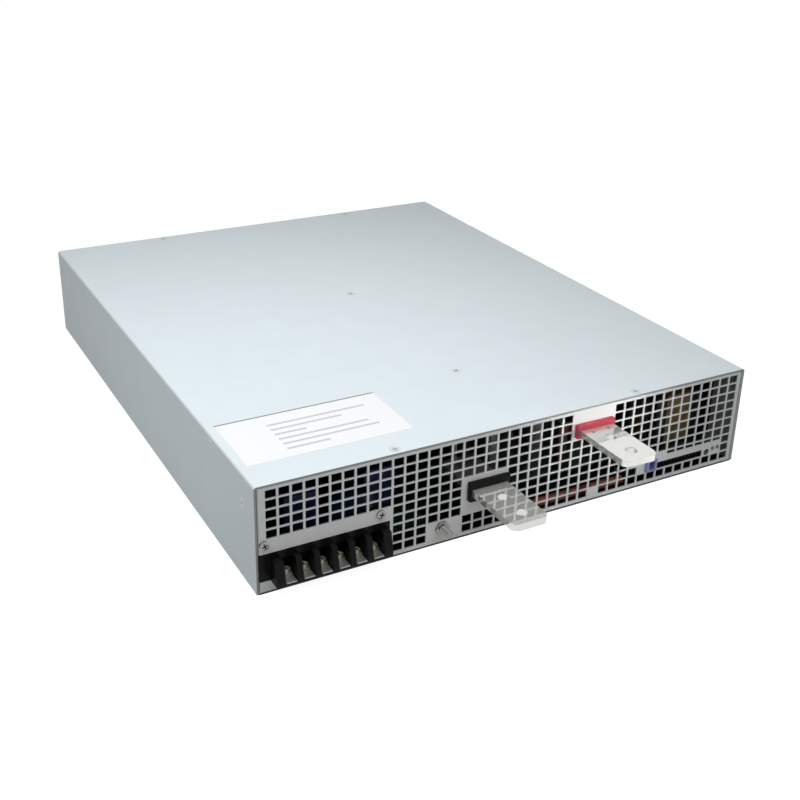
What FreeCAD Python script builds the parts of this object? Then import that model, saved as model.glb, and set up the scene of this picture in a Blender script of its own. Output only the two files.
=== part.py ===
import FreeCAD, Part
import Sketcher
import math
import os

# Driving dimensions in millimetres. Depths are counted from the front face, heights from the underside,
# and places across from the middle of the case.
DIMENSIONS = {
    # Case sheets
    "case_width": 424.0,
    "case_depth": 520.0,
    "case_height": 83.5,
    "sheet_thickness": 1.5,
    "front_sheet": 1.0,
    "bend_radius": 2.0,
    "sheet_gap": 0.2,
    "cover_lift": 0.4,
    "rail_height": 14.0,
    "rail_inset": 30.0,
    "panel_side_gap": 0.6,
    "side_flange": 28.0,
    "top_flange": 12.0,
    "top_flange_inset": 14.0,
    "rear_tab": 9.0,
    "rear_tab_across": 105.0,
    "foot_spacing_across": 380.0,
    "foot_spacing_deep": 440.0,
    "foot_hole_radius": 2.0,
    # Front grille
    "hole_width": 7.8,
    "hole_height": 6.3,
    "hole_pitch_across": 9.56,
    "hole_pitch_down": 7.65,
    "grille_side_margin": 7.8,
    "grille_top_margin": 4.0,
    "short_hole_height": 2.6,
    # Rear fan slots
    "fan_pitch": 150.0,
    "slot_height": 5.0,
    "slot_pitch": 7.5,
    "slot_circle": 37.0,
    # Pan-head fasteners
    "shank_radius": 2.0,
    "head_radius": 3.4,
    "head_height": 2.4,
    "terminal_screw_length": 3.5,
    "flange_screw_length": 10.0,
    # Input terminal block
    "block_left": -202.0,
    "block_length": 88.0,
    "block_nose": 11.5,
    "block_brow": 8.0,
    "block_under": 9.5,
    "block_lip": 14.5,
    "block_crest": 28.0,
    "block_rear": 16.0,
    "block_top": 31.0,
    "block_flange": 3.0,
    "block_ear_left": -210.0,
    "block_flange_left": -208.2,
    "block_flange_right": -110.0,
    "block_flange_top": 43.0,
    "bay_pitch": 13.2,
    "bay_width": 8.6,
    "bay_floor": 11.0,
    "bay_back": 5.0,
    "bay_roof": 24.0,
    "plate_width": 7.6,
    "plate_thickness": 1.0,
    "clamp_width": 7.2,
    "clamp_thickness": 2.4,
    "terminal_screw_depth": -0.5,
    "block_hole_left": -210.2,
    "block_hole_right": -111.0,
    "block_hole_corner": 4.0,
    "block_screw_left": -206.0,
    "block_screw_right": -118.5,
    "block_screw_height": 38.5,
    # Output bars and sleeves
    "bar_width": 30.0,
    "bar_thickness": 5.0,
    "bar_reach": 57.5,
    "bar_inside": 44.0,
    "bar_corner": 6.0,
    "bar_bolt_near": 21.0,
    "bar_bolt_spacing": 23.5,
    "bar_bolt_radius": 4.5,
    "bar_pilot_depth": 9.0,
    "bar_pilot_offset": 7.0,
    "bar_pilot_radius": 1.7,
    "negative_across": -30.6,
    "negative_height": 35.0,
    "positive_across": 62.6,
    "positive_height": 61.8,
    "sleeve_width": 34.4,
    "negative_sleeve_below": 4.6,
    "negative_sleeve_above": 5.6,
    "positive_sleeve_below": 2.0,
    "positive_sleeve_above": 4.0,
    "sleeve_reach": 4.0,
    "sleeve_inside": 8.0,
    "bar_clearance": 0.3,
    "link_width": 8.0,
    "link_near": 36.0,
    "link_far": 41.0,
    # Ground stud
    "stud_across": -68.3,
    "stud_height": 13.2,
    "stud_radius": 3.0,
    "stud_reach": 12.5,
    "stud_collar_radius": 5.7,
    "stud_collar": 2.0,
    # Signal connectors
    "header_left": 130.4,
    "header_right": 177.4,
    "header_low": 11.8,
    "header_high": 17.6,
    "header_wall": 1.2,
    "header_rear": 12.0,
    "header_recess": 8.0,
    "pin_pitch": 3.81,
    "pin_side": 0.8,
    "pin_length": 5.5,
    "connector_left": 118.4,
    "connector_right": 128.8,
    "connector_low": 12.2,
    "connector_high": 22.4,
    "connector_reach": 2.5,
    "connector_rear": 10.0,
    "connector_socket_width": 5.4,
    "connector_socket_height": 7.4,
    "connector_recess": 7.5,
    # Trim pot and indicator lamps
    "pot_across": 182.4,
    "pot_height": 14.6,
    "pot_side": 7.0,
    "pot_front": 3.0,
    "pot_rear": 9.0,
    "rotor_radius": 2.2,
    "rotor_clearance": 0.15,
    "rotor_front": 1.0,
    "rotor_rear": 5.0,
    "rotor_slot": 0.8,
    "rotor_slot_depth": 1.0,
    "pot_window_radius": 2.8,
    "lamp_first": 188.8,
    "lamp_pitch": 5.2,
    "lamp_height": 16.7,
    "lamp_radius": 1.5,
    "lamp_window_radius": 1.6,
    "lamp_reach": 0.4,
    "lamp_rear": 6.0,
    # Fans
    "fan_size": 80.0,
    "fan_depth": 38.0,
    "fan_bore": 38.2,
    "hub_radius": 17.0,
    "hub_length": 27.0,
    "seat_side": 26.0,
    "seat_depth": 5.0,
    "strut_width": 4.0,
    "shaft_length": 5.5,
    "shaft_radius": 2.0,
    "shaft_clearance": 0.15,
    "blade_root": 12.0,
    "blade_tip": 35.8,
    "blade_chord": 20.0,
    "blade_rise": 18.0,
    "blade_thickness": 1.6,
    "rotor_gap": 2.5,
    # Boards
    "board_height": 8.0,
    "board_thickness": 2.0,
    "standoff_radius": 3.5,
    "post_radius": 4.0,
    "post_near": 99.0,
    "post_far": 288.0,
    "post_notch": 12.0,
    # Label on the top
    "label_left": -205.0,
    "label_width": 127.0,
    "label_near": 28.0,
    "label_depth": 65.0,
    "label_thickness": 0.15,
}

# Fields of the grille: first column, columns, first row, rows. Rows count downwards.
GRILLE_FIELDS = (
    (1, 10, 1, 5),
    (11, 3, 1, 10),
    (14, 3, 1, 8),
    (17, 4, 1, 4),
    (17, 4, 9, 2),
    (21, 6, 1, 10),
    (27, 4, 4, 6),
    (27, 2, 10, 1),
    (30, 1, 10, 1),
    (31, 3, 1, 10),
    (34, 9, 1, 7),
    (34, 9, 10, 1),
    (43, 1, 1, 10),
)
SHORT_FIELD = (37, 6, 8, 1)
TERMINALS = 6
FANS = 3
BLADES = 7
HEADER_ROWS = (-1.3, 1.3)
HEADER_COLUMNS = 12
HEAD_SIDES = 10
SHANK_SIDES = 6
DUCT_SIDES = 20
CAN_SIDES = 10
LEAD_SIDES = 8


class Size:
    """A length that carries its number and the sheet expression behind it."""

    def __init__(self, number, text):
        self.number = number
        self.text = text

    @staticmethod
    def of(value):
        return value if isinstance(value, Size) else Size(float(value), str(value))

    def __add__(self, other):
        other = Size.of(other)
        return Size(self.number + other.number, f"({self.text} + {other.text})")

    def __sub__(self, other):
        other = Size.of(other)
        return Size(self.number - other.number, f"({self.text} - {other.text})")

    def __mul__(self, factor):
        return Size(self.number * factor, f"({self.text} * {factor})")

    def __truediv__(self, divisor):
        return Size(self.number / divisor, f"({self.text} / {divisor})")

    def __neg__(self):
        return Size(-self.number, f"(-1 * {self.text})")

    def leg(self, other):
        """The other leg of a right triangle with this hypotenuse."""
        other = Size.of(other)
        number = (self.number ** 2 - other.number ** 2) ** 0.5
        return Size(number, f"sqrt({self.text} ^ 2 - {other.text} ^ 2)")


def make_sheet(document):
    """Write every driving dimension to a named cell and return them as sizes."""
    sheet = document.addObject("Spreadsheet::Sheet", "Sheet")
    sizes = {}
    for row, (alias, number) in enumerate(DIMENSIONS.items(), start=1):
        sheet.set(f"A{row}", alias)
        sheet.set(f"B{row}", str(number))
        sheet.setAlias(f"B{row}", alias)
        sizes[alias] = Size(number, f"Sheet.{alias}")
    document.recompute()
    return sizes


doc = FreeCAD.newDocument("PowerSupply")
dim = make_sheet(doc)
nodes = []

SHEET = dim["sheet_thickness"]
HALF_WIDTH = dim["case_width"] / 2
FRONT = -dim["case_depth"] / 2
REAR = dim["case_depth"] / 2
INSIDE_TOP = dim["case_height"] - SHEET
BOARD_TOP = dim["board_height"] + dim["board_thickness"]
PANEL_BACK = FRONT + dim["front_sheet"]


def depth(value):
    """A place this far behind the front face."""
    return FRONT + value


def finish(shape, label):
    """Name a finished sub-part and keep it for the export."""
    shape.Label = label
    nodes.append(shape)
    return shape


def bind(target, **sizes):
    for name, size in sizes.items():
        target.setExpression(name, Size.of(size).text)


def move(target, x, y, z):
    for axis, size in (("x", x), ("y", y), ("z", z)):
        target.setExpression(f"Placement.Base.{axis}", Size.of(size).text)


# Part primitives and booleans

def block(name, xs, ys, zs):
    """A box between two sizes on each axis."""
    box = doc.addObject("Part::Box", name)
    lows = [Size.of(pair[0]) for pair in (xs, ys, zs)]
    spans = [Size.of(pair[1]) - low for pair, low in zip((xs, ys, zs), lows)]
    bind(box, Length=spans[0], Width=spans[1], Height=spans[2])
    move(box, *lows)
    return box


TURNS = {
    "x": FreeCAD.Rotation(FreeCAD.Vector(0, 1, 0), 90),
    "y": FreeCAD.Rotation(FreeCAD.Vector(1, 0, 0), -90),
    "z": FreeCAD.Rotation(),
    "-y": FreeCAD.Rotation(FreeCAD.Vector(1, 0, 0), 90),
    "-z": FreeCAD.Rotation(FreeCAD.Vector(1, 0, 0), 180),
}


def rod(name, axis, start, radius, length):
    """A round bar from a start point along a named axis."""
    cylinder = doc.addObject("Part::Cylinder", name)
    cylinder.Placement.Rotation = TURNS[axis]
    bind(cylinder, Radius=radius, Height=length)
    move(cylinder, *start)
    return cylinder


def prism(name, sides, axis, start, radius, length):
    """A straight bar of a regular polygon from a start point along a named axis."""
    bar = doc.addObject("Part::Prism", name)
    bar.Polygon = sides
    bar.Placement.Rotation = TURNS[axis]
    bind(bar, Circumradius=radius, Height=length)
    move(bar, *start)
    return bar


def join(name, shapes):
    fused = doc.addObject("Part::MultiFuse", name)
    fused.Shapes = shapes
    return fused


def group(name, shapes):
    """Separate solids kept together as one node."""
    compound = doc.addObject("Part::Compound", name)
    compound.Links = shapes
    return compound


def cut(name, base, tools):
    result = doc.addObject("Part::Cut", name)
    result.Base = base
    result.Tool = tools[0] if len(tools) == 1 else group(f"{name}_tools", tools)
    return result


# Sketches and body features

def new_body(name):
    return doc.addObject("PartDesign::Body", name)


def sketch_on(body, name, role, offset=None):
    """A sketch on one of the body's own planes, moved along the plane's normal."""
    plane = next(feature for feature in body.Origin.OriginFeatures if feature.Role == role)
    sketch = body.newObject("Sketcher::SketchObject", name)
    sketch.AttachmentSupport = [(plane, "")]
    sketch.MapMode = "FlatFace"
    if offset is not None:
        sketch.setExpression("AttachmentOffset.Base.z", offset.text)
    return sketch


def pin_point(sketch, geometry, end, u, v):
    """Hold a point at two bound distances from the sketch's origin."""
    for kind, size in (("DistanceX", u), ("DistanceY", v)):
        index = sketch.addConstraint(Sketcher.Constraint(kind, -1, 1, geometry, end, size.number))
        sketch.setExpression(f"Constraints[{index}]", size.text)


def outline(sketch, corners):
    """A closed polygon whose corners are bound to the sheet."""
    corners = [(Size.of(u), Size.of(v)) for u, v in corners]
    points = [FreeCAD.Vector(u.number, v.number, 0) for u, v in corners]
    first = sketch.GeometryCount
    count = len(points)
    for index in range(count):
        sketch.addGeometry(Part.LineSegment(points[index], points[(index + 1) % count]))
    for index in range(count):
        following = first + (index + 1) % count
        sketch.addConstraint(Sketcher.Constraint("Coincident", first + index, 2, following, 1))
    for index, (u, v) in enumerate(corners):
        pin_point(sketch, first + index, 1, u, v)


def rectangle(sketch, us, vs):
    outline(sketch, ((us[0], vs[0]), (us[1], vs[0]), (us[1], vs[1]), (us[0], vs[1])))


def polygon(sketch, u, v, radius, sides):
    """A regular polygon for small round holes and hubs."""
    u, v = Size.of(u), Size.of(v)
    angles = [math.tau * (index + 0.5) / sides for index in range(sides)]
    outline(sketch, [(u + radius * math.cos(angle), v + radius * math.sin(angle)) for angle in angles])


def circle(sketch, u, v, radius):
    u, v, radius = Size.of(u), Size.of(v), Size.of(radius)
    centre = FreeCAD.Vector(u.number, v.number, 0)
    ring = sketch.addGeometry(Part.Circle(centre, FreeCAD.Vector(0, 0, 1), radius.number))
    index = sketch.addConstraint(Sketcher.Constraint("Radius", ring, radius.number))
    sketch.setExpression(f"Constraints[{index}]", radius.text)
    pin_point(sketch, ring, 3, u, v)


def pad(body, name, sketch, length, both_ways=False):
    feature = body.newObject("PartDesign::Pad", name)
    feature.Profile = sketch
    feature.Midplane = both_ways
    bind(feature, Length=length)
    return feature


def pocket_through(body, name, sketch):
    """Cut a sketch right through the body, both ways."""
    feature = body.newObject("PartDesign::Pocket", name)
    feature.Profile = sketch
    feature.Type = "ThroughAll"
    feature.Midplane = True
    return feature


def pocket_up(body, name, sketch, height):
    """Cut a level sketch upwards by a height."""
    feature = body.newObject("PartDesign::Pocket", name)
    feature.Profile = sketch
    feature.Reversed = True
    bind(feature, Length=height)
    return feature


def grid(body, name, feature, sketch, across, columns, down=None, rows=1):
    """Repeat a feature along its sketch's own two axes."""
    pattern = body.newObject("PartDesign::LinearPattern", name)
    pattern.Originals = [feature]
    pattern.Direction = (sketch, ["H_Axis"])
    pattern.Mode = "Spacing"
    pattern.Occurrences = columns
    bind(pattern, Offset=across)
    if rows > 1:
        pattern.Direction2 = (sketch, ["V_Axis"])
        pattern.Reversed2 = True
        pattern.Mode2 = "Extent"
        pattern.Occurrences2 = rows
        bind(pattern, Length2=down * (rows - 1))
    body.Tip = pattern
    return pattern


def near(value, size):
    return abs(value - size.number) < 0.01


def round_edges(body, name, feature, radius, wanted):
    """Fillet the edges whose middle point passes a test."""
    doc.recompute()
    edges = feature.Shape.Edges
    picked = [f"Edge{i}" for i, edge in enumerate(edges, 1) if wanted(edge, edge.CenterOfMass)]
    fillet = body.newObject("PartDesign::Fillet", name)
    fillet.Base = (feature, picked)
    bind(fillet, Radius=radius)
    return fillet


def is_along(edge, axis):
    """True for a straight edge that runs along one named axis."""
    box = edge.BoundBox
    spans = {"x": box.XLength, "y": box.YLength, "z": box.ZLength}
    return spans.pop(axis) > 1e-3 and max(spans.values()) < 1e-3


# Case

def make_base_pan():
    """Floor sheet with a folded rail along each side and four fixing holes."""
    half = HALF_WIDTH - SHEET - dim["sheet_gap"]
    body = new_body("base_pan")
    floor = sketch_on(body, "floor_outline", "XY_Plane")
    rectangle(floor, (-half, half), (FRONT, REAR))
    pad(body, "floor", floor, SHEET)
    rails = sketch_on(body, "rail_outline", "XZ_Plane")
    for low, high in ((-half, SHEET - half), (half - SHEET, half)):
        rectangle(rails, (low, high), (0, dim["rail_height"]))
    pad(body, "rails", rails, dim["case_depth"] - dim["rail_inset"] * 2, both_ways=True)
    feet = sketch_on(body, "foot_holes", "XY_Plane")
    for side in (-1, 1):
        for end in (-1, 1):
            x = dim["foot_spacing_across"] * (side / 2)
            y = dim["foot_spacing_deep"] * (end / 2)
            circle(feet, x, y, dim["foot_hole_radius"])
    pocket_through(body, "feet", feet)
    finish(body, "base_pan")


def make_cover():
    """Top and both sides folded from one sheet."""
    inner = HALF_WIDTH - SHEET
    lift = dim["cover_lift"]
    top = dim["case_height"]
    body = new_body("cover")
    profile = sketch_on(body, "cover_profile", "XZ_Plane")
    outline(profile, (
        (-HALF_WIDTH, lift), (-HALF_WIDTH, top), (HALF_WIDTH, top), (HALF_WIDTH, lift),
        (inner, lift), (inner, INSIDE_TOP), (-inner, INSIDE_TOP), (-inner, lift),
    ))
    folded = pad(body, "cover_fold", profile, dim["case_depth"], both_ways=True)
    round_edges(body, "cover_bends", folded, dim["bend_radius"],
                lambda edge, middle: is_along(edge, "y") and near(abs(middle.x), HALF_WIDTH)
                and near(middle.z, top))
    finish(body, "cover")


def folded_panel(name, face, inward, tabs, sheet):
    """A panel with folded side flanges and folded top tabs; inward is +1 or -1 along the depth."""
    half = HALF_WIDTH - SHEET - dim["panel_side_gap"]
    back = face + sheet * inward
    tip = face + dim["side_flange"] * inward
    body = new_body(name)
    profile = sketch_on(body, f"{name}_profile", "XY_Plane", SHEET)
    outline(profile, (
        (-half, tip), (-half, face), (half, face), (half, tip),
        (half - sheet, tip), (half - sheet, back), (sheet - half, back), (sheet - half, tip),
    ))
    web = pad(body, f"{name}_web", profile, INSIDE_TOP - SHEET - dim["sheet_gap"])
    round_edges(body, f"{name}_bends", web, dim["bend_radius"],
                lambda edge, middle: is_along(edge, "z") and near(abs(middle.x), half)
                and near(middle.y, face))
    lip_top = INSIDE_TOP - dim["sheet_gap"]
    lip = sketch_on(body, f"{name}_lip_outline", "XY_Plane", lip_top - sheet)
    for low, high in tabs:
        rectangle(lip, (low, high), (face, face + dim["top_flange"] * inward))
    pad(body, f"{name}_lip", lip, sheet)
    return body


def hole_corner(column, row):
    """Left and top edge of one grille hole."""
    left = dim["grille_side_margin"] - HALF_WIDTH + dim["hole_pitch_across"] * (column - 1)
    top = dim["case_height"] - dim["grille_top_margin"] - dim["hole_pitch_down"] * (row - 1)
    return left, top


def make_punches(field, height):
    """The punches of one field: a pad through the panel, repeated along and down."""
    column, columns, row, rows = field
    name = f"field_{column}_{row}"
    left, top = hole_corner(column, row)
    body = new_body(name)
    body.AllowCompound = True
    sketch = sketch_on(body, f"{name}_hole", "XZ_Plane", -FRONT)
    rectangle(sketch, (left, left + dim["hole_width"]), (top - height, top))
    punch = pad(body, f"{name}_punch", sketch, SHEET * 4, both_ways=True)
    if columns * rows > 1:
        grid(body, f"{name}_grid", punch, sketch, dim["hole_pitch_across"], columns,
             dim["hole_pitch_down"], rows)
    return body


def bar_place(side):
    """Middle across and underside height of the negative or positive bar."""
    return dim[f"{side}_across"], dim[f"{side}_height"]


def sleeve_box(side):
    """The outer section of the sleeve round one bar."""
    across, height = bar_place(side)
    xs = (across - dim["sleeve_width"] / 2, across + dim["sleeve_width"] / 2)
    zs = (height - dim[f"{side}_sleeve_below"],
          height + dim["bar_thickness"] + dim[f"{side}_sleeve_above"])
    return xs, zs


def lamp_places():
    return [dim["lamp_first"] + dim["lamp_pitch"] * index for index in range(2)]


def make_front_panel():
    """The punched grille: fields of holes round the blank places, with slots and windows."""
    lip = HALF_WIDTH - dim["top_flange_inset"]
    body = folded_panel("front_blank", FRONT, 1, [(-lip, lip)], dim["front_sheet"])
    windows = sketch_on(body, "front_windows", "XZ_Plane")
    rectangle(windows, *sleeve_box("negative"))
    rectangle(windows, *sleeve_box("positive"))
    rectangle(windows, (dim["header_left"], dim["header_right"]), (dim["header_low"], dim["header_high"]))
    rectangle(windows, (dim["connector_left"], dim["connector_right"]),
              (dim["connector_low"], dim["connector_high"]))
    pocket_through(body, "front_window_cuts", windows)
    rounds = sketch_on(body, "front_rounds", "XZ_Plane")
    polygon(rounds, dim["pot_across"], dim["pot_height"], dim["pot_window_radius"], DUCT_SIDES)
    for across in lamp_places():
        polygon(rounds, across, dim["lamp_height"], dim["lamp_window_radius"], HEAD_SIDES)
    pocket_through(body, "front_round_cuts", rounds)
    opening = sketch_on(body, "block_opening", "XZ_Plane")
    low = dim["block_under"] - dim["sheet_gap"]
    rectangle(opening, (dim["block_hole_left"], dim["block_hole_right"]),
              (low, dim["block_top"] + dim["sheet_gap"]))
    cutout = pocket_through(body, "block_opening_cut", opening)
    round_edges(body, "block_opening_corner", cutout, dim["block_hole_corner"],
                lambda edge, middle: is_along(edge, "y") and near(middle.z, low)
                and near(middle.x, dim["block_hole_right"]))
    punches = [make_punches(field, dim["hole_height"]) for field in GRILLE_FIELDS]
    punches.append(make_punches(SHORT_FIELD, dim["short_hole_height"]))
    finish(cut("front_panel", body, punches), "front_panel")


def fan_places():
    """Across position of each fan, evenly spread about the middle."""
    return [dim["fan_pitch"] * (index - (FANS - 1) / 2) for index in range(FANS)]


def make_rear_panel():
    """Rear sheet with a round field of straight slots behind each fan."""
    middle = dim["case_height"] / 2
    tab = dim["rear_tab"] / 2
    tabs = [(dim["rear_tab_across"] * side - tab, dim["rear_tab_across"] * side + tab) for side in (-1, 1)]
    body = folded_panel("rear_panel", REAR, -1, tabs, SHEET)
    first = fan_places()[0]
    for row in range(5):
        offset = dim["slot_pitch"] * (row + 0.5)
        reach = dim["slot_circle"].leg(offset)
        sketch = sketch_on(body, f"slot_row_{row}", "XZ_Plane")
        for side in (-1, 1):
            low = middle + offset * side - dim["slot_height"] / 2
            rectangle(sketch, (first - reach, first + reach), (low, low + dim["slot_height"]))
        slots = pocket_through(body, f"slot_cut_{row}", sketch)
        grid(body, f"slot_rows_{row}", slots, sketch, dim["fan_pitch"], FANS)
    finish(body, "rear_panel")


def make_label():
    right = dim["label_left"] + dim["label_width"]
    top = dim["case_height"] + dim["label_thickness"]
    label = block("blank_label", (dim["label_left"], right),
                  (depth(dim["label_near"]), depth(dim["label_near"] + dim["label_depth"])),
                  (dim["case_height"], top))
    finish(label, "blank_label")


# Input terminals

def bay_places():
    """Across position of each wire bay."""
    middle = dim["block_left"] + dim["block_length"] / 2
    return [middle + dim["bay_pitch"] * (index - (TERMINALS - 1) / 2) for index in range(TERMINALS)]


def make_terminal_block():
    """Moulded barrier strip: a sloped section along the width, six bays and a fixing flange with an ear."""
    nose = FRONT - dim["block_nose"]
    body = new_body("terminal_block")
    section = sketch_on(body, "block_section", "YZ_Plane", dim["block_left"])
    outline(section, (
        (nose, dim["block_under"]), (nose, dim["block_lip"]),
        (FRONT - dim["block_brow"], dim["block_crest"]), (PANEL_BACK, dim["block_crest"]),
        (PANEL_BACK, dim["block_top"]), (depth(dim["block_rear"]), dim["block_top"]),
        (depth(dim["block_rear"]), dim["block_under"]),
    ))
    pad(body, "block_moulding", section, dim["block_length"])
    flange_back = PANEL_BACK + dim["block_flange"]
    flange = sketch_on(body, "block_flange_outline", "XZ_Plane", -flange_back)
    ear, left, right = (dim[f"block_{name}"] for name in ("ear_left", "flange_left", "flange_right"))
    outline(flange, (
        (ear, dim["block_under"]), (right, dim["block_under"]), (right, dim["block_flange_top"]),
        (left, dim["block_flange_top"]), (left, dim["block_top"]), (ear, dim["block_top"]),
    ))
    pad(body, "block_flange", flange, dim["block_flange"])
    bay = sketch_on(body, "bay_outline", "XY_Plane", dim["bay_floor"])
    first = bay_places()[0]
    rectangle(bay, (first - dim["bay_width"] / 2, first + dim["bay_width"] / 2), (nose, PANEL_BACK))
    bay_cut = pocket_up(body, "bay_cut", bay, dim["block_crest"])
    grid(body, "bays", bay_cut, bay, dim["bay_pitch"], TERMINALS)
    seat = sketch_on(body, "clamp_seat_outline", "XY_Plane", dim["bay_floor"])
    rectangle(seat, (first - dim["bay_width"] / 2, first + dim["bay_width"] / 2),
              (PANEL_BACK, depth(dim["bay_back"])))
    seat_cut = pocket_up(body, "clamp_seat_cut", seat, dim["bay_roof"] - dim["bay_floor"])
    grid(body, "clamp_seats", seat_cut, seat, dim["bay_pitch"], TERMINALS)
    finish(body, "terminal_block")


def make_terminal_plates():
    """Flat contact plates on the bay floors."""
    top = dim["bay_floor"] + dim["plate_thickness"]
    plates = []
    for index, x in enumerate(bay_places(), 1):
        half = dim["plate_width"] / 2
        plates.append(block(f"terminal_plate_{index}", (x - half, x + half),
                            (FRONT - dim["block_nose"] + dim["sheet_gap"], depth(dim["bay_back"])),
                            (dim["bay_floor"], top)))
    finish(group("terminal_plates", plates), "terminal_plates")


def make_terminal_clamps():
    """Square clamp washers under the terminal screws."""
    low = dim["bay_floor"] + dim["plate_thickness"]
    half = dim["clamp_width"] / 2
    y = depth(dim["terminal_screw_depth"])
    clamps = []
    for index, x in enumerate(bay_places(), 1):
        clamps.append(block(f"terminal_clamp_{index}", (x - half, x + half), (y - half, y + half),
                            (low, low + dim["clamp_thickness"])))
    finish(group("terminal_clamps", clamps), "terminal_clamps")


def pan_screw(name, axis, head_top, length):
    """A pan-head screw: its head's outer face, and the shank's length under the head."""
    head = prism(f"{name}_head", HEAD_SIDES, axis, head_top, dim["head_radius"], dim["head_height"])
    shank = prism(f"{name}_shank", SHANK_SIDES, axis, head_top, dim["shank_radius"],
                  dim["head_height"] + length)
    return join(name, [head, shank])


def make_terminal_screws():
    """The wire clamps' screws, one in each bay."""
    clamp_top = dim["bay_floor"] + dim["plate_thickness"] + dim["clamp_thickness"]
    screws = []
    for index, x in enumerate(bay_places(), 1):
        head_top = (x, depth(dim["terminal_screw_depth"]), clamp_top + dim["head_height"])
        screws.append(pan_screw(f"terminal_screw_{index}", "-z", head_top, dim["terminal_screw_length"]))
    finish(group("terminal_screws", screws), "terminal_screws")


def make_flange_screws():
    """The two screws that hold the terminal block's flange to the panel."""
    screws = []
    for index, x in enumerate((dim["block_screw_left"], dim["block_screw_right"]), 1):
        head_top = (x, FRONT - dim["head_height"], dim["block_screw_height"])
        screws.append(pan_screw(f"flange_screw_{index}", "y", head_top, dim["flange_screw_length"]))
    finish(group("flange_screws", screws), "flange_screws")


def make_ground_stud():
    """Round stud in a six-sided collar against the panel."""
    start = (dim["stud_across"], FRONT, dim["stud_height"])
    collar = prism("stud_collar", 6, "-y", start, dim["stud_collar_radius"], dim["stud_collar"])
    shank = rod("stud_shank", "-y", start, dim["stud_radius"], dim["stud_reach"])
    finish(join("ground_stud", [collar, shank]), "ground_stud")


# Output bars

def make_bar(label, side):
    """Flat bar with rounded tip corners, two bolt holes and two pilot holes."""
    across, height = bar_place(side)
    half = dim["bar_width"] / 2
    tip = FRONT - dim["bar_reach"]
    body = new_body(label)
    plan = sketch_on(body, f"{label}_plan", "XY_Plane", height)
    rectangle(plan, (across - half, across + half), (tip, depth(dim["bar_inside"])))
    flat = pad(body, f"{label}_flat", plan, dim["bar_thickness"])
    round_edges(body, f"{label}_corners", flat, dim["bar_corner"],
                lambda edge, middle: is_along(edge, "z") and near(middle.y, tip))
    holes = sketch_on(body, f"{label}_holes", "XY_Plane", height)
    near_bolt = FRONT - dim["bar_bolt_near"]
    circle(holes, across, near_bolt, dim["bar_bolt_radius"])
    circle(holes, across, near_bolt - dim["bar_bolt_spacing"], dim["bar_bolt_radius"])
    for side in (-1, 1):
        polygon(holes, across + dim["bar_pilot_offset"] * side, FRONT - dim["bar_pilot_depth"],
                dim["bar_pilot_radius"], LEAD_SIDES)
    pocket_through(body, f"{label}_drilling", holes)
    finish(body, label)


def make_sleeve(label, side):
    """Insulating frame that a bar passes through."""
    across, height = bar_place(side)
    xs, zs = sleeve_box(side)
    half = dim["bar_width"] / 2 + dim["bar_clearance"]
    ys = (FRONT - dim["sleeve_reach"], depth(dim["sleeve_inside"]))
    outer = block(f"{label}_outer", xs, ys, zs)
    inner = block(f"{label}_inner", (across - half, across + half), ys,
                  (height - dim["bar_clearance"], height + dim["bar_thickness"] + dim["bar_clearance"]))
    finish(cut(label, outer, [inner]), label)


def make_link(label, side):
    """Copper riser from the output board to the underside of a bar."""
    across, height = bar_place(side)
    half = dim["link_width"] / 2
    riser = block(label, (across - half, across + half),
                  (depth(dim["link_near"]), depth(dim["link_far"])), (BOARD_TOP, height))
    finish(riser, label)


# Signal connectors

def make_signal_header():
    """Shrouded header behind its window."""
    wall = dim["header_wall"]
    xs = (dim["header_left"] - wall, dim["header_right"] + wall)
    shell = block("header_shell", xs, (PANEL_BACK, depth(dim["header_rear"])),
                  (BOARD_TOP, dim["header_high"] + wall))
    recess = block("header_hollow", (dim["header_left"], dim["header_right"]),
                   (PANEL_BACK, PANEL_BACK + dim["header_recess"]),
                   (dim["header_low"], dim["header_high"]))
    finish(cut("signal_header", shell, [recess]), "signal_header")


def make_header_pins():
    """Two rows of square pins standing from the back of the header's recess."""
    back = PANEL_BACK + dim["header_recess"]
    half = dim["pin_side"] / 2
    middle_x = (dim["header_left"] + dim["header_right"]) / 2
    middle_z = (dim["header_low"] + dim["header_high"]) / 2
    pins = []
    for row, rise in enumerate(HEADER_ROWS):
        for column in range(HEADER_COLUMNS):
            x = middle_x + dim["pin_pitch"] * (column - (HEADER_COLUMNS - 1) / 2)
            z = middle_z + rise
            pins.append(block(f"header_pin_{row}_{column}", (x - half, x + half),
                              (back - dim["pin_length"], back), (z - half, z + half)))
    finish(group("header_pins", pins), "header_pins")


def make_blue_connector():
    """Square socket that stands proud of the panel."""
    ys = (FRONT - dim["connector_reach"], depth(dim["connector_rear"]))
    xs = (dim["connector_left"], dim["connector_right"])
    shell = block("connector_shell", xs, ys, (dim["connector_low"], dim["connector_high"]))
    middle_x = (xs[0] + xs[1]) / 2
    middle_z = (dim["connector_low"] + dim["connector_high"]) / 2
    half_x = dim["connector_socket_width"] / 2
    half_z = dim["connector_socket_height"] / 2
    socket = block("connector_hollow", (middle_x - half_x, middle_x + half_x),
                   (ys[0], ys[0] + dim["connector_recess"]), (middle_z - half_z, middle_z + half_z))
    finish(cut("blue_connector", shell, [socket]), "blue_connector")


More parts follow.
